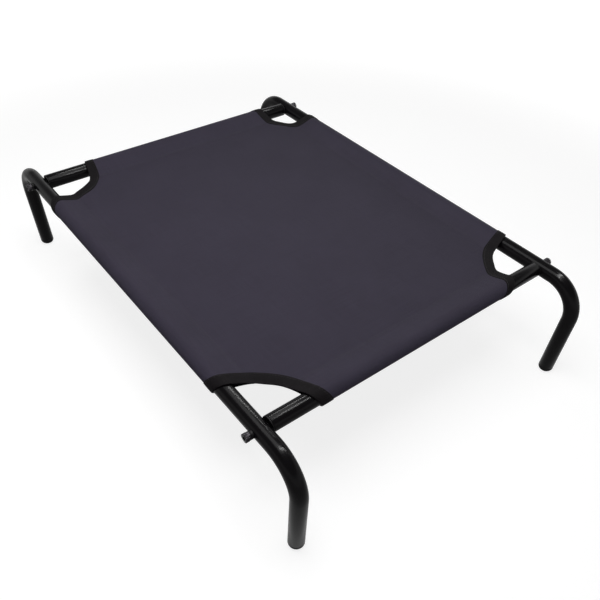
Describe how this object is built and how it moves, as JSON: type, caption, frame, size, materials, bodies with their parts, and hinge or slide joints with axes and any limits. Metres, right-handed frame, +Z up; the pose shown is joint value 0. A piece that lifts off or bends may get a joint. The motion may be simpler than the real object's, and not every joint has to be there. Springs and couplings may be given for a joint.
{
  "type": "raised dog bed",
  "caption": "Raised dog bed: a cloth sling stretched over bent steel side tubes that bolted cross tubes hold apart, with cut and bound corners.",
  "frame": {"origin": "on the floor, under the middle of the bed", "axes": "+X across the bed to its right side, +Y along it to its rear end, +Z up; the end at -Y is the front"},
  "size_m": [0.6232, 0.9, 0.1929],
  "materials": {
    "black_paint": "glossy black powder coat with a fine texture",
    "black_steel": "black oxide",
    "zinc_steel": "bright zinc",
    "black_plastic": "satin moulded",
    "slate_cloth": "tightly woven, matt, slate with a violet cast",
    "black_tape": "ribbed binding tape"
  },
  "bodies": {
    "frame": {"left_side_tube": "black_paint", "right_side_tube": "black_paint", "front_cross_tube": "black_paint", "rear_cross_tube": "black_paint", "front_left_end_plug": "black_plastic", "front_left_nut": "zinc_steel", "front_left_foot_cap": "black_plastic", "front_left_corner_binding": "black_tape", "front_right_end_plug": "black_plastic", "front_right_nut": "zinc_steel", "front_right_foot_cap": "black_plastic", "front_right_corner_binding": "black_tape", "rear_left_end_plug": "black_plastic", "rear_left_nut": "zinc_steel", "rear_left_foot_cap": "black_plastic", "rear_left_corner_binding": "black_tape", "rear_right_end_plug": "black_plastic", "rear_right_nut": "zinc_steel", "rear_right_foot_cap": "black_plastic", "rear_right_corner_binding": "black_tape", "sling": "slate_cloth"},
    "front_left_washer": {"front_left_saddle_washer": "black_plastic"},
    "front_left_bolt": {"front_left_bolt": "black_steel"},
    "front_right_washer": {"front_right_saddle_washer": "black_plastic"},
    "front_right_bolt": {"front_right_bolt": "black_steel"},
    "rear_left_washer": {"rear_left_saddle_washer": "black_plastic"},
    "rear_left_bolt": {"rear_left_bolt": "black_steel"},
    "rear_right_washer": {"rear_right_saddle_washer": "black_plastic"},
    "rear_right_bolt": {"rear_right_bolt": "black_steel"}
  },
  "joints": [
    {"name": "front_left_bolt_travel", "type": "slide", "parent": "frame", "child": "front_left_washer", "axis": [-1, 0, 0], "range_m": [0, 0.01]},
    {"name": "front_left_bolt_turn", "type": "hinge", "parent": "front_left_washer", "child": "front_left_bolt", "pos_m": [-0.2873, -0.3523, 0.1773], "axis": [-1, 0, 0], "range_deg": [0, 2880]},
    {"name": "front_right_bolt_travel", "type": "slide", "parent": "frame", "child": "front_right_washer", "axis": [1, 0, 0], "range_m": [0, 0.01]},
    {"name": "front_right_bolt_turn", "type": "hinge", "parent": "front_right_washer", "child": "front_right_bolt", "pos_m": [0.2873, -0.3523, 0.1773], "axis": [1, 0, 0], "range_deg": [0, 2880]},
    {"name": "rear_left_bolt_travel", "type": "slide", "parent": "frame", "child": "rear_left_washer", "axis": [-1, 0, 0], "range_m": [0, 0.01]},
    {"name": "rear_left_bolt_turn", "type": "hinge", "parent": "rear_left_washer", "child": "rear_left_bolt", "pos_m": [-0.2873, 0.3523, 0.1773], "axis": [-1, 0, 0], "range_deg": [0, 2880]},
    {"name": "rear_right_bolt_travel", "type": "slide", "parent": "frame", "child": "rear_right_washer", "axis": [1, 0, 0], "range_m": [0, 0.01]},
    {"name": "rear_right_bolt_turn", "type": "hinge", "parent": "rear_right_washer", "child": "rear_right_bolt", "pos_m": [0.2873, 0.3523, 0.1773], "axis": [1, 0, 0], "range_deg": [0, 2880]}
  ],
  "couplings": [
    {"joint": "front_left_bolt_turn", "follows": "front_left_bolt_travel", "rad_per_m": 5026.5},
    {"joint": "front_right_bolt_turn", "follows": "front_right_bolt_travel", "rad_per_m": 5026.5},
    {"joint": "rear_left_bolt_turn", "follows": "rear_left_bolt_travel", "rad_per_m": 5026.5},
    {"joint": "rear_right_bolt_turn", "follows": "rear_right_bolt_travel", "rad_per_m": 5026.5}
  ]
}
